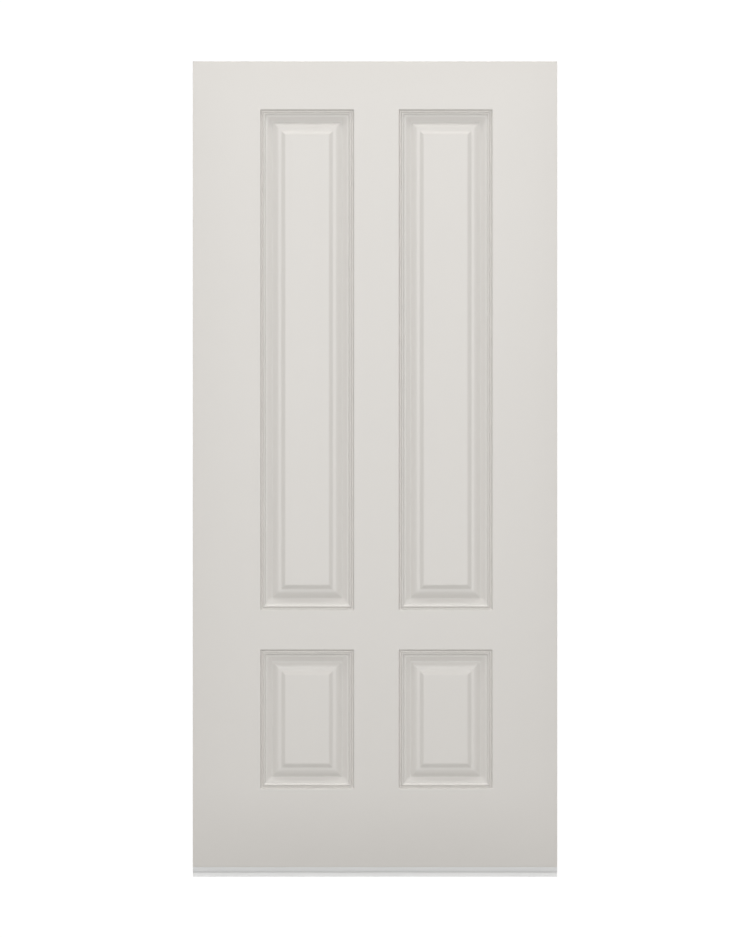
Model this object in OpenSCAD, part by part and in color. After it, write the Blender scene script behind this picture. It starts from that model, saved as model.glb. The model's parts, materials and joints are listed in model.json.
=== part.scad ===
// Insulated exterior door leaf with four raised panels.
// Millimetres. X runs across the leaf from the hinge edge (-X) to the lock edge (+X), the outside
// face looks to -Y and the inside face to +Y, and Z = 0 is the lowest line of the sweep.

/* [Leaf] */
// Width of the leaf, edge to edge
leaf_w = 908; // [880:1:1100]
// Height of the slab, without the sweep below it
slab_h = 2007; // [1900:1:2450]
// Thickness of the leaf over both skins
leaf_t = 44.5; // [42:0.5:60]
// Wall of each moulded skin
skin_t = 2; // [1.6:0.1:3]

/* [Panels] */
// Width of each panel over its moulding
panel_w = 233.5; // [180:0.5:250]
// Plain width between the two columns of panels
mullion_w = 111.5; // [60:0.5:140]
// Plain height above the upper panels
top_margin = 120; // [80:1:200]
// Plain height between the upper and the lower panels
middle_margin = 98.5; // [60:0.5:160]
// Height of each lower panel over its moulding
lower_panel_h = 346.5; // [200:0.5:450]
// Plain height below the lower panels
bottom_margin = 195; // [120:1:260]
// How far both columns stand off the middle, towards the lock edge on the outside face
panel_shift = 3.5; // [-6:0.5:6]

/* [Moulding, measured inward from a panel's edge] */
// Width of the quirk's outer side, a half wave
quirk_wall_w = 3; // [1:0.1:4]
// Where the quirk's floor ends
quirk_at = 6.2; // [5:0.1:7]
// Depth of the quirk
quirk_depth = 5.8; // [3:0.1:6]
// Where the bead's flat top begins
bead_at = 8; // [7.5:0.1:9]
// Width of the bead's flat top
bead_w = 1.2; // [0.5:0.1:2]
// Depth of the bead's top below the face
bead_depth = 2.4; // [1:0.1:3]
// Where the waist begins, the level band between the bead and the valley
waist_at = 15; // [12:0.5:17]
// Depth of the waist
waist_depth = 6.6; // [4:0.1:7.5]
// Width of the waist
waist_w = 2.5; // [1:0.5:4]
// Where the valley is deepest
valley_at = 29.5; // [24:0.5:32]
// Depth of the valley
valley_depth = 12.4; // [9:0.1:12.5]
// Where the bevel ends in a level band
bevel_at = 48; // [42:0.5:52]
// Depth of that band
bevel_depth = 5.6; // [4:0.1:8]
// Width of that band
band_w = 3; // [1:0.5:5]
// Where the raised field begins
field_at = 63.5; // [60:0.5:70]
// Depth of the raised field below the face
field_depth = 1.2; // [0.2:0.1:2]

/* [Wood frame] */
// Width of each laminated stile
stile_w = 32; // [25:1:40]
// Thickness of the solid strip on each outer edge
edge_strip_t = 8; // [6:0.5:12]
// Height of the top rail
top_rail_h = 32; // [25:1:60]
// Height of the bottom rail
bottom_rail_h = 45; // [35:1:80]
// Width of the lock block
lock_block_w = 100; // [80:1:110]
// Height of the lock block
lock_block_h = 400; // [200:1:500]
// Height of the lock block's middle above the slab's lower end
lock_block_at = 965; // [900:1:1050]

/* [Hinge preparation] */
// Height of each hinge mortise
hinge_h = 102; // [89:1:127]
// Depth of each hinge mortise
hinge_depth = 2.5; // [2:0.1:4]
// Wood left between a mortise and the outside face
hinge_backset = 6.5; // [5:0.5:10]
// Radius of a mortise's two inner corners
hinge_corner_r = 16; // [3:0.5:16]
// From the slab's upper end to the top mortise
hinge_top_gap = 178; // [120:1:250]
// From the slab's lower end to the bottom mortise
hinge_bottom_gap = 279; // [200:1:350]
// Radius of each screw's pilot hole
pilot_r = 1.6; // [1.2:0.1:2.5]
// Depth of each pilot hole below the mortise
pilot_depth = 28; // [15:1:34]
// Distance between the two outer screws
pilot_outer_span = 78; // [60:1:90]
// Distance between the two inner screws
pilot_inner_span = 32; // [20:1:50]
// From the inside face to the inner screws
pilot_inner_at = 15; // [13:0.5:18]
// From the inside face to the outer screws
pilot_outer_at = 25; // [22:0.5:30]

/* [Sweep] */
// How far the sweep hangs below the slab
sweep_drop = 24; // [15:1:35]
// Wall of the sweep's plate and lips
sweep_wall = 2.2; // [1.5:0.1:3]
// Height of the lip that stands at each face
lip_h = 12; // [8:0.5:14]
// Thickness of each hanging fin
fin_t = 1.6; // [1:0.1:2.5]
// Distance between the roots of neighbouring fins
fin_pitch = 17; // [10:0.5:17]
// How far an outer fin's tip stands outward of its root
fin_flare = 4; // [0:0.5:5]
// Width of each kerf in the slab's lower end
kerf_w = 3.2; // [2.5:0.1:5]
// Depth of each kerf
kerf_depth = 14; // [10:1:20]
// Distance between the two kerfs
kerf_pitch = 20; // [14:1:26]
// Gap between a barb and each side of its kerf
leg_gap = 0.15; // [0.1:0.05:0.4]
// How far a leg stops short of its kerf's end
leg_short = 1.5; // [0.5:0.5:4]

/* [Staples] */
// Thickness of the staples' wire
wire_t = 1.3; // [1:0.1:2]
// Width of a staple over its crown
crown_w = 11; // [8:0.5:16]
// Length of a staple's legs
staple_leg = 15; // [10:1:20]
// Number of staples in the sweep
sweep_staple_count = 7; // [4:1:12]
// From the leaf's edge to the first sweep staple
sweep_staple_inset = 70; // [50:1:120]

/* [Hidden] */
$fn = 48;

half_w = leaf_w / 2;
half_t = leaf_t / 2;
slab_z = sweep_drop;
top_z = slab_z + slab_h;

// The wood frame fills the depth between the two skins.
frame_t = leaf_t - 2 * skin_t;
stile_x = half_w - edge_strip_t;
core_x = stile_x - stile_w;
core_z = slab_z + bottom_rail_h;
core_h = slab_h - bottom_rail_h - top_rail_h;

// Panel centres and heights, drawn as a face is seen from inside the leaf. The upper panels take the
// height that is left over.
panel_x = (mullion_w + panel_w) / 2;
upper_panel_h = slab_h - top_margin - middle_margin - lower_panel_h - bottom_margin;
lower_z = slab_z + bottom_margin + lower_panel_h / 2;
upper_z = top_z - top_margin - upper_panel_h / 2;
panels = [for (x = [-panel_x, panel_x]) for (p = [[lower_z, lower_panel_h], [upper_z, upper_panel_h]])
    [x - panel_shift, p[0], p[1]]];

// The moulding's knots: distance inward, depth, and how the surface comes there from the knot before.
knots = [[0, 0, "line"],
         [quirk_wall_w, quirk_depth, "wave"],
         [quirk_at, quirk_depth, "line"],
         [bead_at, bead_depth, "line"],
         [bead_at + bead_w, bead_depth, "line"],
         [waist_at, waist_depth, "wave"],
         [waist_at + waist_w, waist_depth, "line"],
         [valley_at, valley_depth, "line"],
         [bevel_at, bevel_depth, "crown"],
         [bevel_at + band_w, bevel_depth, "line"],
         [field_at, field_depth, "wave"]];
wave_steps = 6;
fin_steps = 8;
reach = field_at + skin_t;

// The three mortises' middles, from the bottom one to the top one.
hinge_low = slab_z + hinge_bottom_gap + hinge_h / 2;
hinge_high = top_z - hinge_top_gap - hinge_h / 2;
hinge_z = [hinge_low, (hinge_low + hinge_high) / 2, hinge_high];

sweep_staple_y = (fin_t + kerf_pitch - kerf_w) / 4;

// A cutter runs this far past the surface that it opens.
past = 1;

// Share of the way in depth at share t of the way inward. A wave is level at both ends, and a crown where
// it ends.
function ease(t, kind) =
    kind == "wave" ? (1 - cos(180 * t)) / 2 :
    kind == "crown" ? sin(90 * t) :
    t;

// Depth at s between two knots a and b.
function between(s, a, b) = a[1] + (b[1] - a[1]) * ease((s - a[0]) / (b[0] - a[0]), b[2]);

// The last knot that lies at or before s.
function knot_before(s) = max([for (i = [0 : len(knots) - 2]) s >= knots[i][0] ? i : 0]);

// Depth of the skin's outer surface at distance s inward from a panel's edge.
function face_depth(s) =
    s <= 0 ? 0 :
    s >= field_at ? field_depth :
    let (i = knot_before(s)) between(s, knots[i], knots[i + 1]);

// Depth of the skin's inner surface: a ball of the wall's radius rolled along the outer one.
function back_depth(s) =
    max([for (a = [-90 : 10 : 90]) face_depth(s + skin_t * sin(a)) + skin_t * cos(a)]);

stations = concat([-skin_t, -skin_t / 2],
    [for (i = [0 : len(knots) - 2])
        let (n = knots[i + 1][2] == "line" ? 2 : wave_steps)
        for (k = [0 : n - 1]) knots[i][0] + (knots[i + 1][0] - knots[i][0]) * k / n],
    [field_at, reach]);
face_line = [for (s = stations) [s, face_depth(s)]];
back_line = [for (s = stations) [s, back_depth(s)]];
back_line_reversed = [for (i = [len(back_line) - 1 : -1 : 0]) back_line[i]];

// A section carried round a w by h panel and mitred at its corners. Depth runs along +Z here.
module moulding(w, h, section) {
    from = -skin_t;
    deep = max([for (p = section) p[1]]) + past;
    for (turn = [0 : 3]) {
        along = turn % 2 == 0 ? w : h;
        across = turn % 2 == 0 ? h : w;
        rotate(turn * 90)
            translate([-along / 2, -across / 2, 0])
                intersection() {
                    translate([from, 0, 0])
                        rotate([90, 0, 90])
                            linear_extrude(along - 2 * from)
                                polygon(section);
                    translate([0, 0, -past])
                        linear_extrude(deep + past)
                            polygon([[from, from], [along - from, from], [along - reach, reach],
                                     [reach, reach]]);
                }
    }
}

// A block over the field of a w by h panel, from depth a to depth b.
module field_block(w, h, a, b) {
    translate([-w / 2 + reach, -h / 2 + reach, a])
        cube([w - 2 * reach, h - 2 * reach, b - a]);
}

// Places a flat piece drawn with depth along +Z on one face of the leaf.
module on_face(outside) {
    rotate(outside ? 180 : 0)
        translate([0, half_t, 0])
            rotate([90, 0, 0])
                children();
}

// One moulded skin, lying with its visible side on Z = 0.
module skin() {
    difference() {
        translate([-half_w, slab_z, 0])
            cube([leaf_w, slab_h, skin_t]);
        for (p = panels)
            translate([p[0] - panel_w / 2 - skin_t, p[1] - p[2] / 2 - skin_t, -past])
                cube([panel_w + 2 * skin_t, p[2] + 2 * skin_t, skin_t + 2 * past]);
    }
    for (p = panels)
        translate([p[0], p[1], 0]) {
            moulding(panel_w, p[2], concat(face_line, back_line_reversed));
            field_block(panel_w, p[2], field_depth, field_depth + skin_t);
        }
}

// The room that one skin's mouldings take in the core, lying as the skin does.
module skin_print() {
    from = skin_t - past;
    section = concat([[-skin_t, from]], back_line, [[reach, from]]);
    for (p = panels)
        translate([p[0], p[1], 0]) {
            moulding(panel_w, p[2], section);
            field_block(panel_w, p[2], from, field_depth + skin_t);
        }
}

// A block of the wood frame from x1 to x2 and z1 to z2, between the skins.
module frame_block(x1, x2, z1, z2) {
    translate([x1, -frame_t / 2, z1])
        cube([x2 - x1, frame_t, z2 - z1]);
}

// Outline of a mortise on the hinge edge: Y towards the inside face, Z up, cut through that face.
module mortise_outline() {
    low = -half_t + hinge_backset;
    translate([low + hinge_corner_r, -hinge_h / 2])
        square([leaf_t, hinge_h]);
    translate([low, -hinge_h / 2 + hinge_corner_r])
        square([leaf_t, hinge_h - 2 * hinge_corner_r]);
    for (side = [-1, 1])
        translate([low + hinge_corner_r, side * (hinge_h / 2 - hinge_corner_r)])
            circle(r = hinge_corner_r, $fn = 96);
}

// The three mortises and their pilot holes, as cutters.
module hinge_cuts() {
    for (z = hinge_z)
        translate([-half_w, 0, z]) {
            translate([-past, 0, 0])
                rotate([90, 0, 90])
                    linear_extrude(hinge_depth + past)
                        mortise_outline();
            for (side = [-1, 1]) {
                pilot_hole(half_t - pilot_inner_at, side * pilot_inner_span / 2);
                pilot_hole(half_t - pilot_outer_at, side * pilot_outer_span / 2);
            }
        }
}

module pilot_hole(y, z) {
    translate([0, y, z])
        rotate([0, 90, 0])
            cylinder(h = hinge_depth + pilot_depth, r = pilot_r);
}

// The two kerfs along the slab's lower end, as cutters.
module kerf_cuts() {
    for (side = [-1, 1])
        translate([-half_w - past, side * kerf_pitch / 2 - kerf_w / 2, slab_z - past])
            cube([leaf_w + 2 * past, kerf_w, kerf_depth + past]);
}

// One staple with the outer side of its crown on Z = 0 and its legs up.
module staple() {
    translate([-crown_w / 2, -wire_t / 2, 0])
        cube([crown_w, wire_t, wire_t]);
    for (side = [-1, 1])
        translate([side * (crown_w - wire_t) / 2 - wire_t / 2, -wire_t / 2, 0])
            cube([wire_t, wire_t, wire_t + staple_leg]);
}

// The sweep's staples stand midway between the centre fin and a kerf, with their crowns under the plate.
module all_sweep_staples() {
    span = leaf_w - 2 * sweep_staple_inset;
    for (i = [0 : sweep_staple_count - 1])
        translate([-span / 2 + span * i / (sweep_staple_count - 1), sweep_staple_y,
                   slab_z - sweep_wall - wire_t])
            staple();
}

// One staple over each joint of the wood frame, sunk flush in both of its faces. The lower ones
// stay above the kerfs.
module all_frame_staples() {
    low = slab_z + (kerf_depth + bottom_rail_h) / 2;
    high = top_z - top_rail_h / 2;
    for (outside = [false, true])
        on_face(outside)
            for (x = [-core_x, core_x], z = [low, high])
                translate([x, z, skin_t])
                    staple();
}

module front_skin() {
    color("#DAD7D2")
        on_face(true)
            skin();
}

module back_skin() {
    color("#DAD7D2")
        difference() {
            on_face(false)
                skin();
            hinge_cuts();
        }
}

module hinge_stile() {
    color("#C9A26B")
        difference() {
            frame_block(-stile_x, -core_x, slab_z, top_z);
            hinge_cuts();
            kerf_cuts();
            all_frame_staples();
        }
}

module lock_stile() {
    color("#C9A26B")
        difference() {
            frame_block(core_x, stile_x, slab_z, top_z);
            kerf_cuts();
            all_frame_staples();
        }
}

module hinge_edge_strip() {
    color("#D9B988")
        difference() {
            frame_block(-half_w, -stile_x, slab_z, top_z);
            hinge_cuts();
            kerf_cuts();
        }
}

module lock_edge_strip() {
    color("#D9B988")
        difference() {
            frame_block(stile_x, half_w, slab_z, top_z);
            kerf_cuts();
        }
}

module top_rail() {
    color("#B9B2A4")
        difference() {
            frame_block(-core_x, core_x, top_z - top_rail_h, top_z);
            all_frame_staples();
        }
}

module bottom_rail() {
    color("#B9B2A4")
        difference() {
            frame_block(-core_x, core_x, slab_z, core_z);
            kerf_cuts();
            all_frame_staples();
            all_sweep_staples();
        }
}

module lock_block() {
    color("#C9A26B")
        frame_block(core_x - lock_block_w, core_x, slab_z + lock_block_at - lock_block_h / 2,
                    slab_z + lock_block_at + lock_block_h / 2);
}

module foam_core() {
    color("#E6D9A8")
        difference() {
            frame_block(-core_x, core_x, core_z, core_z + core_h);
            for (outside = [false, true])
                on_face(outside)
                    skin_print();
            lock_block();
        }
}

// Section of the sweep, Y across the leaf and Z = 0 at the slab's lower end.
module sweep_section() {
    // The plate under the slab, and a lip at each face.
    translate([-half_t, -sweep_wall])
        square([leaf_t, sweep_wall]);
    for (side = [-1, 1])
        translate([side * (half_t - sweep_wall / 2) - sweep_wall / 2, -lip_h])
            square([sweep_wall, lip_h]);
    // Three fins that hang to the floor line, the outer two flared.
    for (k = [-1 : 1])
        translate([k * fin_pitch, 0])
            fin(k * fin_flare);
    // Two legs with barbs that grip the kerfs.
    for (side = [-1, 1])
        translate([side * kerf_pitch / 2, 0])
            barbed_leg();
}

// One fin, whose middle line moves sideways by flare times the square of the way down.
module fin(flare) {
    way = [for (i = [0 : fin_steps]) i / fin_steps];
    line = [for (t = way) [flare * t * t, -sweep_drop * t]];
    back = [for (i = [fin_steps : -1 : 0]) line[i]];
    side = [fin_t / 2, 0];
    polygon(concat([for (p = line) p - side], [for (p = back) p + side]));
}

module barbed_leg() {
    stem = kerf_w / 3;
    barb = kerf_w / 2 - leg_gap;
    h = kerf_depth - leg_short;
    translate([-stem / 2, -sweep_wall / 2])
        square([stem, h + sweep_wall / 2]);
    for (top = [h, h * 2 / 3])
        polygon([[-barb, top - barb * 2], [barb, top - barb * 2], [stem / 4, top], [-stem / 4, top]]);
}

module door_sweep() {
    color("#D2D2D0")
        difference() {
            translate([-half_w, 0, slab_z])
                rotate([90, 0, 90])
                    linear_extrude(leaf_w)
                        sweep_section();
            all_sweep_staples();
        }
}

module sweep_staples() {
    color("#AEB2B5")
        all_sweep_staples();
}

module frame_staples() {
    color("#AEB2B5")
        all_frame_staples();
}

front_skin();
back_skin();
hinge_stile();
lock_stile();
hinge_edge_strip();
lock_edge_strip();
top_rail();
bottom_rail();
lock_block();
foam_core();
door_sweep();
sweep_staples();
frame_staples();
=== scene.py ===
import json
import math

import bmesh
import bpy
import numpy as np
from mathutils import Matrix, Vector


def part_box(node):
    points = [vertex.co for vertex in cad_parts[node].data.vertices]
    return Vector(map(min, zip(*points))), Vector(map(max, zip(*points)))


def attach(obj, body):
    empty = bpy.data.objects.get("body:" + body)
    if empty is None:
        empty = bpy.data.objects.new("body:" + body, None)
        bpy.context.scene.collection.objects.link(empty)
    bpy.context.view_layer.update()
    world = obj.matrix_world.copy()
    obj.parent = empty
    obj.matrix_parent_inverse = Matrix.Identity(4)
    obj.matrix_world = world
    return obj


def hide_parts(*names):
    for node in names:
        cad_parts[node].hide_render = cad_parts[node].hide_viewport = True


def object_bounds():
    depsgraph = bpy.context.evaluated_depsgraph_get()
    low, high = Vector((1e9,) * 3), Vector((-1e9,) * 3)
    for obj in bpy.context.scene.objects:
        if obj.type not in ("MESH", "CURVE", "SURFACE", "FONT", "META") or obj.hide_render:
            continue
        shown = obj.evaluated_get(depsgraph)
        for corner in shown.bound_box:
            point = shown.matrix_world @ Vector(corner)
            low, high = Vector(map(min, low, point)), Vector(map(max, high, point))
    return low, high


# An insulated front door leaf: two moulded skins over a wood frame, and a finned sweep below.
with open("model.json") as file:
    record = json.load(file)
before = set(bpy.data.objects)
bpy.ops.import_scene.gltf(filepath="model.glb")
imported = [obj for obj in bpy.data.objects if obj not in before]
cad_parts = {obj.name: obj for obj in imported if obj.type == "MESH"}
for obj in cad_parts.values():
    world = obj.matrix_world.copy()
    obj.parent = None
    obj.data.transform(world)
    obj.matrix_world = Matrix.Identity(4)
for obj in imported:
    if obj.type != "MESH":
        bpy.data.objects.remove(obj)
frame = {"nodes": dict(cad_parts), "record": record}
cadLow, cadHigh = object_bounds()
scene = bpy.context.scene
print("frame loaded:", len(frame["nodes"]), "nodes")


def newPiece(name, points, faces, materials, smoothAngle=40, materialIndex=None):
    # Puts whole arrays of points and faces into one mesh object at the origin.
    mesh = bpy.data.meshes.new(name)
    mesh.from_pydata(points, [], faces)
    for material in materials:
        mesh.materials.append(material)
    if materialIndex is not None:
        mesh.polygons.foreach_set("material_index", materialIndex)
    mesh.shade_smooth()
    mesh.set_sharp_from_angle(angle=math.radians(smoothAngle))
    mesh.update()
    piece = bpy.data.objects.new(name, mesh)
    scene.collection.objects.link(piece)
    return piece


def standFor(piece, node):
    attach(piece, "root")
    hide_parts(node)
    return piece


def halfWave(t):
    # Eases from 0 to 1 with no slope at either end.
    return (1 - np.cos(np.pi * np.clip(t, 0, 1))) / 2


def addNode(tree, kind, settings=None, inputs=None):
    # One shader node, with its own settings, and with inputs that are values or other sockets.
    node = tree.nodes.new(kind)
    for key, value in (settings or {}).items():
        setattr(node, key, value)
    for key, value in (inputs or {}).items():
        if isinstance(value, bpy.types.NodeSocket):
            tree.links.new(value, node.inputs[key])
        else:
            node.inputs[key].default_value = value
    return node


def calc(tree, operation, a, b=0.0, c=0.0):
    # A Math node whose inputs are numbers or sockets.
    return addNode(tree, "ShaderNodeMath", {"operation": operation}, {0: a, 1: b, 2: c}).outputs[0]


def mulAdd(tree, value, factor, addend):
    # value * factor + addend
    return calc(tree, "MULTIPLY_ADD", value, factor, addend)


def vectorCalc(tree, operation, inputs):
    return addNode(tree, "ShaderNodeVectorMath", {"operation": operation}, inputs).outputs[0]


def blendColour(tree, factor, first, second):
    # A Mix node's colours are its inputs 6 and 7, and its output 2.
    node = addNode(tree, "ShaderNodeMix", {"data_type": "RGBA", "blend_type": "MIX"},
                   {"Factor": factor, 6: first, 7: second})
    return node.outputs[2]


def groupOf(name, inputs, outputs):
    # An empty shader group with named inputs and outputs.
    tree = bpy.data.node_groups.new(name, "ShaderNodeTree")
    for label, kind, value in inputs:
        socket = tree.interface.new_socket(label, in_out="INPUT", socket_type=kind)
        if value is not None:
            socket.default_value = value
    for label, kind in outputs:
        tree.interface.new_socket(label, in_out="OUTPUT", socket_type=kind)
    given, out = tree.nodes.new("NodeGroupInput"), tree.nodes.new("NodeGroupOutput")
    return tree, given.outputs, out.inputs


def useGroup(tree, group, inputs):
    return addNode(tree, "ShaderNodeGroup", {"node_tree": group}, inputs).outputs


def newMaterial(name):
    material = bpy.data.materials.new(name)
    material.use_nodes = True
    tree = material.node_tree
    return material, tree, tree.nodes["Principled BSDF"]


def objectPoint(tree):
    return addNode(tree, "ShaderNodeTexCoord").outputs["Object"]


def splitPoint(tree, point):
    return addNode(tree, "ShaderNodeSeparateXYZ", None, {0: point}).outputs


def stretched(tree, point, scale):
    return addNode(tree, "ShaderNodeMapping", {"vector_type": "POINT"},
                   {"Vector": point, "Scale": scale}).outputs[0]


def noise(tree, point, scale, detail=3.0, roughness=0.5):
    return addNode(tree, "ShaderNodeTexNoise", None,
                   {"Vector": point, "Scale": scale, "Detail": detail,
                    "Roughness": roughness}).outputs["Fac"]


def chanceOf(tree, number):
    # A random value and colour for each whole number.
    return addNode(tree, "ShaderNodeTexWhiteNoise", {"noise_dimensions": "1D"},
                   {"W": number}).outputs


def buildToneDrift():
    # Tone = 1 + amount * (2 * noise - 1): a slow change of lightness over the surface.
    inputs = [("Point", "NodeSocketVector", None), ("Scale", "NodeSocketFloat", 2.0),
              ("Amount", "NodeSocketFloat", 0.02), ("Colour", "NodeSocketColor", None)]
    outputs = [("Colour", "NodeSocketColor"), ("Drift", "NodeSocketFloat")]
    tree, given, out = groupOf("toneDrift", inputs, outputs)
    drift = noise(tree, given["Point"], given["Scale"], detail=4.0)
    centred = mulAdd(tree, drift, 2.0, -1.0)
    tone = mulAdd(tree, centred, given["Amount"], 1.0)
    lit = vectorCalc(tree, "SCALE", {0: given["Colour"], "Scale": tone})
    tree.links.new(lit, out["Colour"])
    tree.links.new(drift, out["Drift"])
    return tree


def buildOrangePeel():
    # Height = coarse soft cells + a little fine grain, as a sprayed or moulded film dries.
    inputs = [("Point", "NodeSocketVector", None), ("Cells", "NodeSocketFloat", 260.0),
              ("Grain", "NodeSocketFloat", 2200.0), ("GrainShare", "NodeSocketFloat", 0.2)]
    tree, given, out = groupOf("orangePeel", inputs, [("Height", "NodeSocketFloat")])
    cells = noise(tree, given["Point"], given["Cells"], detail=1.0, roughness=0.4)
    grain = noise(tree, given["Point"], given["Grain"], detail=2.0)
    tree.links.new(mulAdd(tree, grain, given["GrainShare"], cells), out["Height"])
    return tree


timber = {
    "ringRate": 900.0,
    "acrossShare": 0.6,
    "ringSharpness": 1.8,
    "bendStretch": (22.0, 22.0, 1.1),
    "bendScale": 1.6,
    "bendReach": 26.0,
    "fibreStretch": (900.0, 900.0, 14.0),
    "fibreRoughness": 0.65,
    "fibreHeight": 0.7,
    "ringHeight": 0.3,
}


def buildTimberGrain(look):
    # Along Z. Rings = sine(rate * (share * x + y) + bend * noise), raised to a power. Fibres are
    # noise in long thin streaks.
    inputs = [("Point", "NodeSocketVector", None), ("RingScale", "NodeSocketFloat", 1.0)]
    outputs = [("Rings", "NodeSocketFloat"), ("Fibres", "NodeSocketFloat"),
               ("Height", "NodeSocketFloat")]
    tree, given, out = groupOf("timberGrain", inputs, outputs)
    slow = stretched(tree, given["Point"], look["bendStretch"])
    bend = noise(tree, slow, look["bendScale"], detail=2.0)
    place = splitPoint(tree, given["Point"])
    side = calc(tree, "ADD", calc(tree, "MULTIPLY", place["X"], look["acrossShare"]), place["Y"])
    bent = calc(tree, "MULTIPLY", bend, look["bendReach"])
    phase = mulAdd(tree, side, look["ringRate"], bent)
    wave = calc(tree, "SINE", calc(tree, "MULTIPLY", phase, given["RingScale"]))
    rings = calc(tree, "POWER", mulAdd(tree, wave, 0.5, 0.5), look["ringSharpness"])
    thin = stretched(tree, given["Point"], look["fibreStretch"])
    fibres = noise(tree, thin, 1.0, detail=4.0, roughness=look["fibreRoughness"])
    ringPart = calc(tree, "MULTIPLY", rings, look["ringHeight"])
    tree.links.new(rings, out["Rings"])
    tree.links.new(fibres, out["Fibres"])
    tree.links.new(mulAdd(tree, fibres, look["fibreHeight"], ringPart), out["Height"])
    return tree


toneDrift = buildToneDrift()
orangePeel = buildOrangePeel()
timberGrain = buildTimberGrain(timber)


def setBump(tree, shader, height, distance):
    bump = addNode(tree, "ShaderNodeBump", None,
                   {"Height": height, "Distance": distance, "Strength": 1.0})
    tree.links.new(bump.outputs[0], shader.inputs["Normal"])


skinLook = {
    "colour": (0.640, 0.617, 0.583, 1),
    "drift": 0.010,
    "driftScale": 2.2,
    "roughness": 0.36,
    "roughDrift": 0.06,
    "specular": 0.4,
    "peelHeight": 0.00002,
    "edgeColour": (0.40, 0.385, 0.33, 1),
    "edgeRoughness": 0.7,
    "edgeHeight": 0.0002,
    "fleckStretch": (1.0, 1.0, 0.25),
    "fleckScale": 1400.0,
    "fleckRange": (0.52, 0.66),
}


def makeSkinMaterial(look):
    # A satin moulded film: one pale warm grey with a barely seen drift and orange peel.
    material, tree, shader = newMaterial("skinSatin")
    point = objectPoint(tree)
    drift = useGroup(tree, toneDrift, {"Point": point, "Scale": look["driftScale"],
                                       "Amount": look["drift"], "Colour": look["colour"]})
    tree.links.new(drift["Colour"], shader.inputs["Base Color"])
    smoothest = look["roughness"] - look["roughDrift"] / 2
    rough = mulAdd(tree, drift["Drift"], look["roughDrift"], smoothest)
    tree.links.new(rough, shader.inputs["Roughness"])
    peel = useGroup(tree, orangePeel, {"Point": point})
    setBump(tree, shader, peel["Height"], look["peelHeight"])
    shader.inputs["Specular IOR Level"].default_value = look["specular"]
    return material


def makeCutEdgeMaterial(look):
    # The sawn edge of the moulded sheet: darker resin with pale flecks of chopped fibre.
    material, tree, shader = newMaterial("skinCutEdge")
    point = stretched(tree, objectPoint(tree), look["fleckStretch"])
    flecks = noise(tree, point, look["fleckScale"], detail=2.0, roughness=0.7)
    low, high = look["fleckRange"]
    mask = addNode(tree, "ShaderNodeMapRange", None,
                   {"Value": flecks, "From Min": low, "From Max": high}).outputs[0]
    colour = blendColour(tree, mask, look["edgeColour"], look["colour"])
    tree.links.new(colour, shader.inputs["Base Color"])
    setBump(tree, shader, flecks, look["edgeHeight"])
    shader.inputs["Roughness"].default_value = look["edgeRoughness"]
    return material


pineLook = {
    "early": (0.74, 0.540, 0.325, 1),
    "late": (0.53, 0.320, 0.150, 1),
    "glue": (0.17, 0.085, 0.035, 1),
    "blockLength": 0.47,
    "blockShift": (0.3, 0.3, 3.0),
    "blockTone": (0.86, 0.26),  # darkest, and how much lighter the lightest is
    "fingerLength": 0.010,
    "fingerPitch": 0.0045,
    "glueWidth": 0.0005,
    "glueShare": 0.6,
    "ringScale": 0.9,
    "ringShare": 0.55,
    "fibreShare": 0.35,
    "roughness": 0.5,
    "fibreRoughness": 0.2,
    "grainHeight": 0.0001,
}


def makePineMaterial(look):
    # Planed pine in blocks joined end to end by fingers: the block's number is
    # floor((z + zigzag(y)) / length), and it moves and tones the grain.
    material, tree, shader = newMaterial("pineStrip")
    point = objectPoint(tree)
    place = splitPoint(tree, point)
    zigzag = calc(tree, "PINGPONG", place["Y"], look["fingerPitch"] / 2)
    steepness = 2 * look["fingerLength"] / look["fingerPitch"]
    reach = calc(tree, "MULTIPLY", zigzag, steepness)
    along = calc(tree, "DIVIDE", calc(tree, "ADD", place["Z"], reach), look["blockLength"])
    block = calc(tree, "FLOOR", along)
    edge = calc(tree, "MULTIPLY", calc(tree, "FRACT", along), look["blockLength"])
    joint = calc(tree, "LESS_THAN", edge, look["glueWidth"])
    chance = chanceOf(tree, block)
    moved = vectorCalc(tree, "MULTIPLY_ADD",
                       {0: chance["Color"], 1: look["blockShift"], 2: point})
    grain = useGroup(tree, timberGrain, {"Point": moved, "RingScale": look["ringScale"]})
    ringShare = calc(tree, "MULTIPLY", grain["Rings"], look["ringShare"])
    fibreShare = calc(tree, "MULTIPLY", grain["Fibres"], look["fibreShare"])
    wood = blendColour(tree, ringShare, look["early"], look["late"])
    fibred = blendColour(tree, fibreShare, wood, look["late"])
    darkest, spread = look["blockTone"]
    tone = mulAdd(tree, chance["Value"], spread, darkest)
    toned = vectorCalc(tree, "SCALE", {0: fibred, "Scale": tone})
    glueShare = calc(tree, "MULTIPLY", joint, look["glueShare"])
    glued = blendColour(tree, glueShare, toned, look["glue"])
    tree.links.new(glued, shader.inputs["Base Color"])
    rough = mulAdd(tree, grain["Fibres"], look["fibreRoughness"], look["roughness"])
    tree.links.new(rough, shader.inputs["Roughness"])
    setBump(tree, shader, grain["Height"], look["grainHeight"])
    return material


veneerLook = {
    "pale": (0.56, 0.365, 0.185, 1),
    "dark": (0.33, 0.185, 0.080, 1),
    "glue": (0.075, 0.036, 0.018, 1),
    "ply": 0.0032,
    "plyShift": (0.4, 0.4, 2.0),
    "plyShare": 0.45,
    "wander": 0.0007,
    "wanderStretch": (30.0, 8.0, 5.0),
    "glueWidth": 0.00035,
    "glueShare": 0.85,
    "ringScale": 0.6,
    "fibreShare": 0.5,
    "roughness": 0.68,
    "grainHeight": 0.00015,
}


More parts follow.
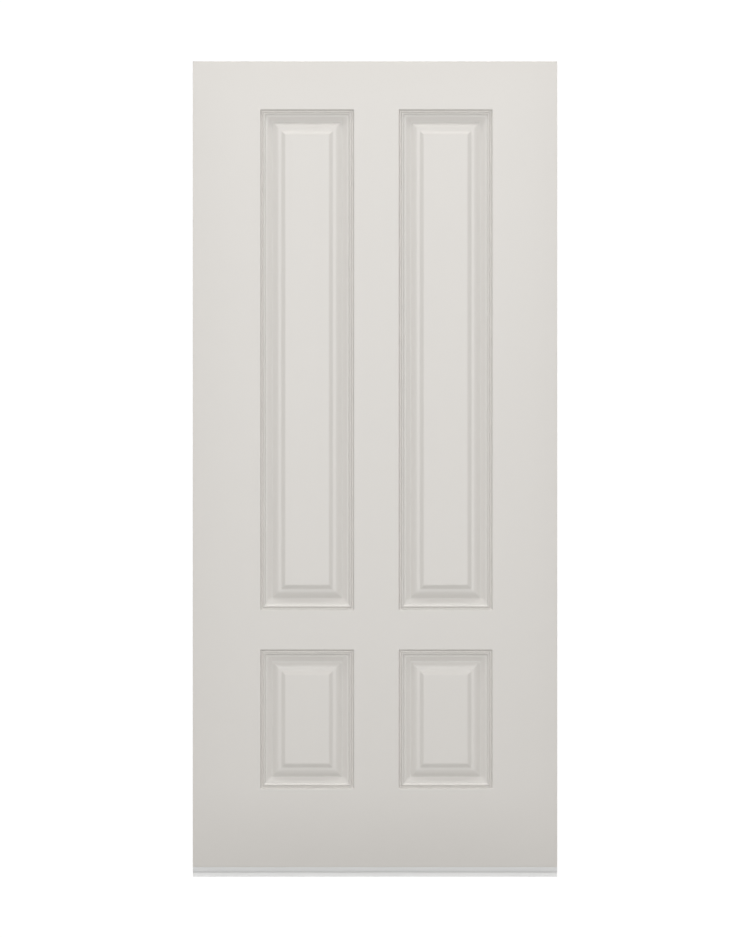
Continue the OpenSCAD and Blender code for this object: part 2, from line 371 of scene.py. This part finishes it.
def makeVeneerMaterial(look):
    # Veneers stacked through the leaf's thickness: the ply's number is
    # floor((y + wander * noise) / ply), with a dark glue line at each.
    material, tree, shader = newMaterial("laminatedVeneer")
    point = objectPoint(tree)
    place = splitPoint(tree, point)
    wander = noise(tree, stretched(tree, point, look["wanderStretch"]), 1.0, detail=2.0)
    wandered = mulAdd(tree, wander, look["wander"], place["Y"])
    layer = calc(tree, "DIVIDE", wandered, look["ply"])
    glueDepth = look["glueWidth"] / look["ply"]
    joint = calc(tree, "LESS_THAN", calc(tree, "FRACT", layer), glueDepth)
    chance = chanceOf(tree, calc(tree, "FLOOR", layer))
    moved = vectorCalc(tree, "MULTIPLY_ADD", {0: chance["Color"], 1: look["plyShift"], 2: point})
    grain = useGroup(tree, timberGrain, {"Point": moved, "RingScale": look["ringScale"]})
    fibreShare = calc(tree, "MULTIPLY", grain["Fibres"], look["fibreShare"])
    share = mulAdd(tree, chance["Value"], look["plyShare"], fibreShare)
    wood = blendColour(tree, share, look["pale"], look["dark"])
    glueShare = calc(tree, "MULTIPLY", joint, look["glueShare"])
    tree.links.new(blendColour(tree, glueShare, wood, look["glue"]), shader.inputs["Base Color"])
    setBump(tree, shader, grain["Height"], look["grainHeight"])
    shader.inputs["Roughness"].default_value = look["roughness"]
    return material


railLook = {
    "pale": (0.46, 0.40, 0.31, 1),
    "dark": (0.27, 0.215, 0.15, 1),
    "drift": 0.10,
    "driftScale": 14.0,
    "chipStretch": (500.0, 900.0, 900.0),
    "chipSharpness": 2.0,
    "sawStretch": (700.0, 20.0, 20.0),
    "roughness": 0.75,
    "height": 0.00012,
}


def makeRailMaterial(look):
    # Wood-fibre composite: a tan matrix with short darker chips, and faint saw marks across.
    material, tree, shader = newMaterial("fibreComposite")
    point = objectPoint(tree)
    chips = addNode(tree, "ShaderNodeTexVoronoi", {"feature": "F1"},
                    {"Vector": stretched(tree, point, look["chipStretch"]),
                     "Scale": 1.0}).outputs["Color"]
    drift = useGroup(tree, toneDrift, {"Point": point, "Scale": look["driftScale"],
                                       "Amount": look["drift"], "Colour": look["pale"]})
    share = calc(tree, "POWER", chips, look["chipSharpness"])
    colour = blendColour(tree, share, drift["Colour"], look["dark"])
    tree.links.new(colour, shader.inputs["Base Color"])
    saw = noise(tree, stretched(tree, point, look["sawStretch"]), 1.0, detail=2.0)
    setBump(tree, shader, calc(tree, "ADD", saw, chips), look["height"])
    shader.inputs["Roughness"].default_value = look["roughness"]
    return material


foamLook = {
    "colour": (0.80, 0.69, 0.40, 1),
    "cell": (0.62, 0.50, 0.25, 1),
    "cellScale": 1100.0,
    "cellWall": 0.14,
    "roughness": 0.9,
    "height": 0.0004,
}


def makeFoamMaterial(look):
    # Rigid foam: small closed cells whose walls are a little darker.
    material, tree, shader = newMaterial("rigidFoam")
    wall = addNode(tree, "ShaderNodeTexVoronoi", {"feature": "DISTANCE_TO_EDGE"},
                   {"Vector": objectPoint(tree), "Scale": look["cellScale"]}).outputs["Distance"]
    share = addNode(tree, "ShaderNodeMapRange", None,
                    {"Value": wall, "From Min": 0.0, "From Max": look["cellWall"],
                     "To Min": 1.0, "To Max": 0.0}).outputs[0]
    colour = blendColour(tree, share, look["colour"], look["cell"])
    tree.links.new(colour, shader.inputs["Base Color"])
    setBump(tree, shader, wall, look["height"])
    shader.inputs["Roughness"].default_value = look["roughness"]
    return material


carrierLook = {"colour": (0.635, 0.635, 0.628, 1), "roughness": 0.45, "sheen": 0.0}
finLook = {"colour": (0.800, 0.800, 0.790, 1), "roughness": 0.55, "sheen": 0.05}
extrusion = {
    "drift": 0.015,
    "driftScale": 6.0,
    "lineStretch": (3.0, 1500.0, 1500.0),
    "lineHeight": 0.00006,
}


def makeVinylMaterial(name, look):
    # Extruded vinyl: an even pale body, with faint die lines that run the length of the strip.
    material, tree, shader = newMaterial(name)
    point = objectPoint(tree)
    drift = useGroup(tree, toneDrift, {"Point": point, "Scale": extrusion["driftScale"],
                                       "Amount": extrusion["drift"], "Colour": look["colour"]})
    tree.links.new(drift["Colour"], shader.inputs["Base Color"])
    lines = noise(tree, stretched(tree, point, extrusion["lineStretch"]), 1.0)
    setBump(tree, shader, lines, extrusion["lineHeight"])
    shader.inputs["Roughness"].default_value = look["roughness"]
    shader.inputs["Sheen Weight"].default_value = look["sheen"]
    return material


wireLook = {
    "colour": (0.56, 0.57, 0.59, 1),
    "dull": (0.36, 0.37, 0.39, 1),
    "spangleScale": 900.0,
    "roughness": 0.3,
    "spangleRoughness": 0.25,
}


def makeWireMaterial(look):
    # Galvanised wire: bright zinc with duller spangles.
    material, tree, shader = newMaterial("stapleZinc")
    spangle = addNode(tree, "ShaderNodeTexVoronoi", None,
                      {"Vector": objectPoint(tree), "Scale": look["spangleScale"]}).outputs["Color"]
    colour = blendColour(tree, spangle, look["colour"], look["dull"])
    tree.links.new(colour, shader.inputs["Base Color"])
    rough = mulAdd(tree, spangle, look["spangleRoughness"], look["roughness"])
    tree.links.new(rough, shader.inputs["Roughness"])
    shader.inputs["Metallic"].default_value = 1.0
    return material


skinSatin = makeSkinMaterial(skinLook)
skinCutEdge = makeCutEdgeMaterial(skinLook)
pineStrip = makePineMaterial(pineLook)
laminatedVeneer = makeVeneerMaterial(veneerLook)
fibreComposite = makeRailMaterial(railLook)
rigidFoam = makeFoamMaterial(foamLook)
carrierVinyl = makeVinylMaterial("carrierVinyl", carrierLook)
finVinyl = makeVinylMaterial("finVinyl", finLook)
stapleZinc = makeWireMaterial(wireLook)
print("materials made")


# Lengths in metres. Each knot of the moulding is (distance inward from the panel's edge, depth,
# how the surface comes to it from the knot before): a half wave, a straight line, or a crown
# that ends level.
doorSkin = {
    "panelWidth": 0.2335,
    "mullionWidth": 0.1115,
    "topMargin": 0.120,
    "middleMargin": 0.0985,
    "lowerPanelHeight": 0.3465,
    "bottomMargin": 0.195,
    "panelShift": 0.0035,
    "moulding": [
        (0.0000, 0.0000, "start"),
        (0.0030, 0.0058, "wave"),  # quirk
        (0.0062, 0.0058, "straight"),
        (0.0080, 0.0024, "straight"),  # bead
        (0.0092, 0.0024, "straight"),
        (0.0150, 0.0066, "wave"),  # waist
        (0.0175, 0.0066, "straight"),
        (0.0295, 0.0124, "straight"),  # valley
        (0.0480, 0.0056, "crown"),  # bevel
        (0.0510, 0.0056, "straight"),
        (0.0635, 0.0012, "wave"),  # raised field
    ],
    "waveSteps": 7,
    "softness": 0.0008,
    "mitreSoftness": 0.0008,
    "mitreMargin": 2,  # walls outside a panel where cells are still cut along its mitre
    "linePitch": 0.00005,
    "lineMargin": 3,  # walls past the moulding at both ends of its line
    "ballSteps": 37,
    "edgeRadius": 0.0009,
    "edgeSteps": 5,
    "stationDigits": 7,
    "smoothAngle": 40,
    "seatHeight": 0.102,
    "seatDepth": 0.0025,
    "seatBlend": 4,  # seat depths over which the edge's columns move in
    "seatStep": 0.00002,
}
knots = np.array([knot[:2] for knot in doorSkin["moulding"]])
kinds = np.array([knot[2] for knot in doorSkin["moulding"]])
slabLow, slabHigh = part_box("front_skin")
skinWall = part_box("hinge_stile")[0].y - slabLow.y
print("skin wall", round(skinWall, 5))


def profileLines():
    # Depth against distance inward, knot by knot, with its corners softened by a running mean.
    # The hidden side is a ball of the wall's radius rolled along it.
    pitch = doorSkin["linePitch"]
    margin = doorSkin["lineMargin"] * skinWall
    fine = np.arange(-margin, knots[-1, 0] + margin, pitch)
    i = np.clip(np.searchsorted(knots[:, 0], fine, side="right"), 1, len(knots) - 1)
    t = np.clip((fine - knots[i - 1, 0]) / (knots[i, 0] - knots[i - 1, 0]), 0, 1)
    eased = [halfWave(t), np.sin(np.pi / 2 * t)]
    ease = np.select([kinds[i] == "wave", kinds[i] == "crown"], eased, t)
    depth = knots[i - 1, 1] + (knots[i, 1] - knots[i - 1, 1]) * ease
    reach = round(doorSkin["softness"] / pitch)
    window = np.full(2 * reach + 1, 1 / (2 * reach + 1))
    depth = np.convolve(np.pad(depth, reach, mode="edge"), window, mode="valid")
    angle = np.radians(np.linspace(-90, 90, doorSkin["ballSteps"]))[:, None]
    rolled = np.interp(fine + skinWall * np.sin(angle), fine, depth) + skinWall * np.cos(angle)
    return fine, depth, rolled.max(axis=0)


def profileStations():
    # Places across one moulding: evenly along each curve, and near the ends of each straight line.
    soft = doorSkin["softness"]
    places = [np.array([-skinWall, -soft])]
    for a, b, kind in zip(knots[:-1, 0], knots[1:, 0], kinds[1:]):
        if kind == "straight":
            places.append(np.array([a, a + soft, b - soft]))
        else:
            places.append(np.linspace(a, b, doorSkin["waveSteps"], endpoint=False))
    places.append(np.array([knots[-1, 0], knots[-1, 0] + soft, knots[-1, 0] + skinWall]))
    return np.concatenate(places)


insetLine, outerLine, innerLine = profileLines()
insets = profileStations()


def panelRects(side):
    # (centre x, centre z, half width, half height) of the four panels, for side 1 outside and
    # -1 inside.
    s = doorSkin
    x = (s["mullionWidth"] + s["panelWidth"]) / 2
    lowFoot = slabLow.z + s["bottomMargin"]
    lowTop = lowFoot + s["lowerPanelHeight"]
    spans = [(lowFoot, lowTop), (lowTop + s["middleMargin"], slabHigh.z - s["topMargin"])]
    return [(side * (column * x + s["panelShift"]), (a + b) / 2, s["panelWidth"] / 2, (b - a) / 2)
            for column in (-1, 1) for a, b in spans]


def edgeStations(low, high):
    # Places across the small radius at both ends of a side, spaced evenly round its arc.
    arc = np.linspace(math.pi / 2, 0, doorSkin["edgeSteps"] + 1)
    near = doorSkin["edgeRadius"] * (1 - np.sin(arc))
    return np.concatenate([low + near, high - near])


def sideStations(low, high, spans, extra=()):
    # All grid places along one side: its two radii, and each panel's moulding from both ends.
    parts = [edgeStations(low, high), np.array(extra)]
    for a, b in spans:
        parts += [a + insets, b - insets]
    return np.unique(np.round(np.concatenate(parts), doorSkin["stationDigits"]))


def roundedEdge(x, z):
    # Depth of a ball's surface near the outline: r - sqrt(r^2 - dx^2 - dz^2).
    r = doorSkin["edgeRadius"]
    dx = np.clip(r - (x - slabLow.x), 0, r) + np.clip(r - (slabHigh.x - x), 0, r)
    dz = np.clip(r - (z - slabLow.z), 0, r) + np.clip(r - (slabHigh.z - z), 0, r)
    return r - np.sqrt(np.clip(r * r - dx * dx - dz * dz, 0, None))


def gridFaces(nx, nz, turn):
    # Triangles of a shell between two nx by nz sheets. Each cell is cut along its mitre, so the
    # corner lines stay straight. The rim's wall comes last, and its count is given back.
    i, j = np.meshgrid(np.arange(nx - 1), np.arange(nz - 1), indexing="ij")
    a = (i * nz + j).ravel()
    b, c, d = a + nz, a + nz + 1, a + 1
    rising = ((turn[:-1, :-1] + turn[1:, 1:]).ravel() >= 0)[:, None]
    first = np.where(rising, np.stack([a, b, c], 1), np.stack([a, b, d], 1))
    second = np.where(rising, np.stack([a, c, d], 1), np.stack([b, c, d], 1))
    sheet = np.concatenate([first, second])
    count = nx * nz
    rim = np.concatenate([np.arange(nx - 1) * nz, (nx - 1) * nz + np.arange(nz - 1),
                          (np.arange(nx)[:0:-1]) * nz + nz - 1, np.arange(nz)[:0:-1]])
    after = np.roll(rim, -1)
    wall = np.concatenate([np.stack([rim, rim + count, after + count], 1),
                           np.stack([rim, after + count, after], 1)])
    return np.concatenate([sheet, sheet[:, ::-1] + count, wall]), len(wall)


def buildSkin(name, outside, notches=()):
    # A shell over an x by z grid: y = face + depth(inset) on the visible side, and
    # face + rolled depth(inset) on the hidden one.
    rects = panelRects(1 if outside else -1)
    gap = doorSkin["seatStep"]
    steps = [z + side * gap for pair in notches for z in pair[:2] for side in (-1, 1)]
    xs = sideStations(slabLow.x, slabHigh.x, {(r[0] - r[2], r[0] + r[2]) for r in rects})
    zs = sideStations(slabLow.z, slabHigh.z, {(r[1] - r[3], r[1] + r[3]) for r in rects}, steps)
    x, z = np.meshgrid(xs, zs, indexing="ij")
    inset = np.full_like(x, insetLine[0])
    turn = np.zeros_like(x)
    soft = doorSkin["mitreSoftness"]
    for cx, cz, halfW, halfH in rects:
        # The inset is a smooth least of the distances to the two nearer sides.
        dx, dz = halfW - np.abs(x - cx), halfH - np.abs(z - cz)
        inset = np.maximum(inset, (dx + dz - np.sqrt((dx - dz) ** 2 + soft * soft)) / 2)
        here = np.minimum(dx, dz) > -doorSkin["mitreMargin"] * skinWall
        turn = np.where(here, np.sign((x - cx) * (z - cz)), turn)
    outer = np.interp(inset, insetLine, outerLine) + roundedEdge(x, z)
    inner = np.interp(inset, insetLine, innerLine)
    # Hinge seats: the columns next to the edge move in by the seat's depth.
    for low, high, depth in notches:
        blend = np.clip(1 - (x - slabLow.x) / (doorSkin["seatBlend"] * depth), 0, 1)
        x = x + blend * ((z > low) & (z < high)) * depth
    face, inward = (slabLow.y, 1) if outside else (-slabLow.y, -1)
    sheets = [np.stack([x, face + inward * d, z], axis=-1) for d in (outer, inner)]
    points = np.concatenate([sheet.reshape(-1, 3) for sheet in sheets])
    faces, wallCount = gridFaces(len(xs), len(zs), turn)
    if not outside:
        faces = faces[:, ::-1]
    slots = np.zeros(len(faces), np.int32)
    slots[-wallCount:] = 1
    return newPiece(name, points, faces.tolist(), [skinSatin, skinCutEdge],
                    doorSkin["smoothAngle"], slots)


frontSkin = standFor(buildSkin("frontSkin", True), "front_skin")
print("front skin:", len(frontSkin.data.polygons), "faces")
seatMiddles = [mount["pos_m"][2] for mount in frame["record"]["mounts"]
               if mount["name"].endswith("hinge_seat")]
seatHalf = doorSkin["seatHeight"] / 2
seatNotches = [(z - seatHalf, z + seatHalf, doorSkin["seatDepth"]) for z in seatMiddles]
backSkin = standFor(buildSkin("backSkin", False, seatNotches), "back_skin")
print("back skin:", len(backSkin.data.polygons), "faces")


sweep = {
    "wall": 0.0022,
    "lipHeight": 0.012,
    "lipRound": 0.0004,
    "plateRound": 0.0012,
    "cornerCut": 0.0002,
    "cornerSteps": 4,
    "legSpacing": 0.020,
    "legHeight": 0.0125,
    "legWall": 0.0011,
    "legTip": 0.6,  # share of the leg's wall at its top
    "barb": 0.00145,
    "barbFeet": (0.36, 0.70),
    "barbRise": 0.02,
    "finRoots": (-0.017, 0.0, 0.017),
    "finLean": (-0.004, 0.001, 0.004),
    "finWall": (0.0018, 0.0011),
    "finWave": 0.0003,
    "finWaves": ((0.6, 21, 1.3), (0.4, 47, 0.4)),  # share, rate and start of each sine
    "finSteps": 14,
    "tipGap": 0.0005,
    "tipSteps": 9,
    "stations": 121,
    "smoothAngle": 35,
}
sweepLow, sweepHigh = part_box("door_sweep")
slabFoot = slabLow.z


def roundCorners(corners, cuts, steps):
    # Each corner is a curve (1-w)^2 A + 2w(1-w) P + w^2 C that starts and ends a cut away from it.
    p = np.array(corners, float)
    back, ahead = np.roll(p, 1, axis=0) - p, np.roll(p, -1, axis=0) - p
    cut = np.array(cuts, float)[:, None]
    a = p + back / np.linalg.norm(back, axis=1, keepdims=True) * cut
    c = p + ahead / np.linalg.norm(ahead, axis=1, keepdims=True) * cut
    w = np.linspace(0, 1, steps)[None, :, None]
    curve = (1 - w) ** 2 * a[:, None] + 2 * w * (1 - w) * p[:, None] + w ** 2 * c[:, None]
    return curve.reshape(-1, 2)


def extrudeAlongX(name, outline, stations, material, shift=None):
    # Carries a closed y-z outline along X. shift(x, outline) may bend it on the way.
    m, k = len(outline), len(stations)
    yz = np.broadcast_to(outline, (k, m, 2)).copy()
    if shift is not None:
        yz += shift(stations[:, None], outline[None])
    x = np.broadcast_to(stations[:, None, None], (k, m, 1))
    points = np.concatenate([x, yz], axis=2).reshape(-1, 3)
    i, j = np.meshgrid(np.arange(k - 1), np.arange(m), indexing="ij")
    here, after = i * m + j, i * m + (j + 1) % m
    quads = np.stack([here, after, after + m, here + m], -1).reshape(-1, 4)
    faces = quads.tolist() + [list(range(m))[::-1], list(range((k - 1) * m, k * m))]
    return newPiece(name, points, faces, [material], sweep["smoothAngle"])


def carrierOutline():
    # Anticlockwise in (y, z): the plate and its two lips below, the two barbed legs above.
    s = sweep
    half, foot = -sweepLow.y, slabFoot
    w, lip, r = s["wall"], s["lipHeight"], s["lipRound"]
    corners = [(-half, foot), (-half, foot - lip), (-half + w, foot - lip), (-half + w, foot - w),
               (half - w, foot - w), (half - w, foot - lip), (half, foot - lip), (half, foot)]
    sharp = s["cornerCut"]
    cuts = [sharp, r, r, s["plateRound"], s["plateRound"], r, r, sharp]
    for side in (1, -1):
        # One side of a leg from its foot to its top, with two barbs, and the same back down.
        y, stem, barb, h = side * s["legSpacing"] / 2, s["legWall"] / 2, s["barb"], s["legHeight"]
        up = [(stem, 0)]
        for share in s["barbFeet"]:
            up += [(stem, share + s["barbRise"]), (barb, share)]
        up.append((stem * s["legTip"], 1))
        corners += [(y + a, foot + h * b) for a, b in up]
        corners += [(y - a, foot + h * b) for a, b in up[::-1]]
        cuts += [sharp / 2] * (2 * len(up))
    return roundCorners(corners, cuts, s["cornerSteps"])


def finOutline(root, lean):
    # A tongue that thins towards its tip and curls outward: middle line y = root + lean * t^2.
    top, tip = slabFoot - sweep["wall"], sweepLow.z + sweep["tipGap"]
    t = np.linspace(0, 1, sweep["finSteps"])
    z = top + (tip - top) * t
    y = root + lean * t ** 2
    half = (sweep["finWall"][0] + (sweep["finWall"][1] - sweep["finWall"][0]) * t) / 2
    turn = np.linspace(math.pi, 2 * math.pi, sweep["tipSteps"])[1:-1]
    tipY, tipZ = y[-1] + half[-1] * np.cos(turn), z[-1] + sweep["tipGap"] * np.sin(turn)
    left, right = np.stack([y - half, z], 1), np.stack([y + half, z], 1)
    return np.concatenate([left, np.stack([tipY, tipZ], 1), right[::-1]])


def finShift(x, outline):
    # The free edge wanders a little along the length: y += wave * t^2 * (two sines of x).
    t = np.clip((slabFoot - outline[..., 1]) / (slabFoot - sweepLow.z), 0, 1)
    sway = sum(share * np.sin(x * rate + start) for share, rate, start in sweep["finWaves"])
    across = sweep["finWave"] * t ** 2 * sway
    return np.stack([across, np.zeros_like(across)], -1)


alongSweep = np.linspace(sweepLow.x, sweepHigh.x, sweep["stations"])
carrier = extrudeAlongX("sweepCarrier", carrierOutline(), alongSweep[[0, -1]], carrierVinyl)
standFor(carrier, "door_sweep")
for number, (root, lean) in enumerate(zip(sweep["finRoots"], sweep["finLean"])):
    fin = extrudeAlongX(f"sweepFin{number + 1}", finOutline(root, lean), alongSweep, finVinyl,
                        finShift)
    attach(fin, "root")
print("sweep made")


# Node: (new name, material, bevel width, slot). The CAD shape is kept, and its arrises eased.
easedPieces = {
    "hinge_edge_strip": ("hingeEdgeStrip", pineStrip, 0.0004, "edge_wood"),
    "lock_edge_strip": ("lockEdgeStrip", pineStrip, 0.0004, "edge_wood"),
    "hinge_stile": ("hingeStile", laminatedVeneer, 0.0003, "laminated_wood"),
    "lock_stile": ("lockStile", laminatedVeneer, 0.0003, "laminated_wood"),
    "top_rail": ("topRail", fibreComposite, 0.0004, "rail"),
    "bottom_rail": ("bottomRail", fibreComposite, 0.0004, "rail"),
    "sweep_staples": ("sweepStaples", stapleZinc, 0.0003, "staple_wire"),
}
# Node: material. These lie inside the leaf, and keep their CAD meshes.
innerPieces = {"lock_block": laminatedVeneer, "foam_core": rigidFoam, "frame_staples": stapleZinc}
easing = {"weld": 0.000005, "flatAngle": 0.5, "sharpAngle": 40, "segments": 2}


def easedCopy(node, name, material, width):
    # A welded copy of a CAD node with flat faces merged and its sharp edges bevelled.
    mesh = frame["nodes"][node].data.copy()
    mesh.name = name
    work = bmesh.new()
    work.from_mesh(mesh)
    bmesh.ops.remove_doubles(work, verts=work.verts, dist=easing["weld"])
    bmesh.ops.dissolve_limit(work, angle_limit=math.radians(easing["flatAngle"]),
                             verts=work.verts, edges=work.edges)
    work.to_mesh(mesh)
    work.free()
    mesh.materials.clear()
    mesh.materials.append(material)
    mesh.shade_smooth()
    piece = bpy.data.objects.new(name, mesh)
    scene.collection.objects.link(piece)
    bevel = piece.modifiers.new("easedEdges", "BEVEL")
    bevel.width = width
    bevel.segments = easing["segments"]
    bevel.limit_method = "ANGLE"
    bevel.angle_limit = math.radians(easing["sharpAngle"])
    bevel.harden_normals = True
    bevel.use_clamp_overlap = True
    mesh.set_sharp_from_angle(angle=math.radians(easing["sharpAngle"]))
    return standFor(piece, node)


for node, (name, material, width, slotName) in easedPieces.items():
    easedCopy(node, name, material, width)
for node, material in innerPieces.items():
    mesh = frame["nodes"][node].data
    mesh.materials.clear()
    mesh.materials.append(material)
print("wood frame finished")


studio = {
    "distance": 12.0,
    "viewHeight": 2.336,
    "sensor": 36,
    "clipEnd": 200,
    "lamps": {
        "overheadStrip": {"place": (0.0, -0.6, 4.4), "aim": (0.0, 0.0, 1.0),
                          "size": (2.4, 0.4), "power": 50.0},
        "keySoftbox": {"place": (0.0, -5.5, 2.6), "aim": (0.0, 0.0, 1.3),
                       "size": (5.0, 1.0), "power": 78.0},
        "frontSoftbox": {"place": (0.0, -12.0, 1.2), "aim": (0.0, 0.0, 0.9),
                         "size": (6.4, 1.6), "power": 345.0},
        "leftStrip": {"place": (-3.2, -1.9, 1.9), "aim": (0.0, 0.0, 1.2),
                      "size": (0.8, 1.6), "power": 13.0},
        "rightStrip": {"place": (3.2, -1.9, 1.9), "aim": (0.0, 0.0, 1.2),
                       "size": (0.8, 1.6), "power": 13.0},
        "rearSoftbox": {"place": (0.0, 8.0, 2.6), "aim": (0.0, 0.0, 1.1),
                        "size": (3.0, 1.6), "power": 210.0},
        "leftRearStrip": {"place": (-3.8, 2.2, 2.0), "aim": (0.0, 0.0, 1.1),
                          "size": (0.8, 1.6), "power": 50.0},
        "rightRearStrip": {"place": (3.8, 2.2, 2.0), "aim": (0.0, 0.0, 1.1),
                           "size": (0.8, 1.6), "power": 50.0},
    },
    "ambient": 0.36,
    "white": 1.05,
    "floorShade": 0.46,
    "floorHalf": 30.0,
    "floorGap": 0.001,
}


def makeFloorMaterial():
    # Plain pale floor that reads as clean white from the camera and as grey to the light.
    material = bpy.data.materials.new("paleFloor")
    material.use_nodes = True
    tree = material.node_tree
    tree.nodes.clear()
    shade = studio["floorShade"]
    matt = addNode(tree, "ShaderNodeBsdfDiffuse", None, {"Color": (shade, shade, shade, 1)})
    white = addNode(tree, "ShaderNodeEmission", None,
                    {"Color": (1, 1, 1, 1), "Strength": studio["white"]})
    seen = addNode(tree, "ShaderNodeLightPath").outputs["Is Camera Ray"]
    both = addNode(tree, "ShaderNodeMixShader", None,
                   {0: seen, 1: matt.outputs[0], 2: white.outputs[0]})
    addNode(tree, "ShaderNodeOutputMaterial", None, {"Surface": both.outputs[0]})
    return material


def makeFloor():
    half = studio["floorHalf"]
    points = [(-half, -half, 0), (half, -half, 0), (half, half, 0), (-half, half, 0)]
    floor = newPiece("floor", points, [(0, 1, 2, 3)], [makeFloorMaterial()])
    floor.location.z = cadLow.z - studio["floorGap"]


def makeWorld():
    # White to the camera, a softer grey to the surfaces it lights.
    world = bpy.data.worlds.new("studioWorld")
    world.use_nodes = True
    scene.world = world
    tree = world.node_tree
    tree.nodes.clear()
    seen = addNode(tree, "ShaderNodeLightPath").outputs["Is Camera Ray"]
    strength = mulAdd(tree, seen, studio["white"] - studio["ambient"], studio["ambient"])
    back = addNode(tree, "ShaderNodeBackground", None,
                   {"Color": (1, 1, 1, 1), "Strength": strength})
    addNode(tree, "ShaderNodeOutputWorld", None, {"Surface": back.outputs[0]})


def aimAt(thing, place, aim):
    thing.location = place
    direction = Vector(aim) - Vector(place)
    thing.rotation_euler = direction.to_track_quat("-Z", "Y").to_euler()


def makeLamp(name, look):
    light = bpy.data.lights.new(name, "AREA")
    light.shape = "RECTANGLE"
    light.size, light.size_y = look["size"]
    light.energy = look["power"]
    lamp = bpy.data.objects.new(name, light)
    lamp.visible_camera = False
    scene.collection.objects.link(lamp)
    aimAt(lamp, look["place"], look["aim"])


def makeCamera():
    # A long lens square on to the leaf's middle.
    lens = bpy.data.cameras.new("camera")
    lens.sensor_width = studio["sensor"]
    lens.lens = studio["sensor"] * studio["distance"] / studio["viewHeight"]
    lens.clip_end = studio["clipEnd"]
    camera = bpy.data.objects.new("camera", lens)
    scene.collection.objects.link(camera)
    middle = (cadLow + cadHigh) / 2
    place = (middle.x, cadLow.y - studio["distance"], middle.z)
    aimAt(camera, place, (middle.x, cadLow.y, middle.z))
    scene.camera = camera


makeFloor()
makeWorld()
for name, look in studio["lamps"].items():
    makeLamp(name, look)
makeCamera()
scene.view_settings.view_transform = "Standard"
scene.view_settings.look = "None"

bpy.context.view_layer.update()
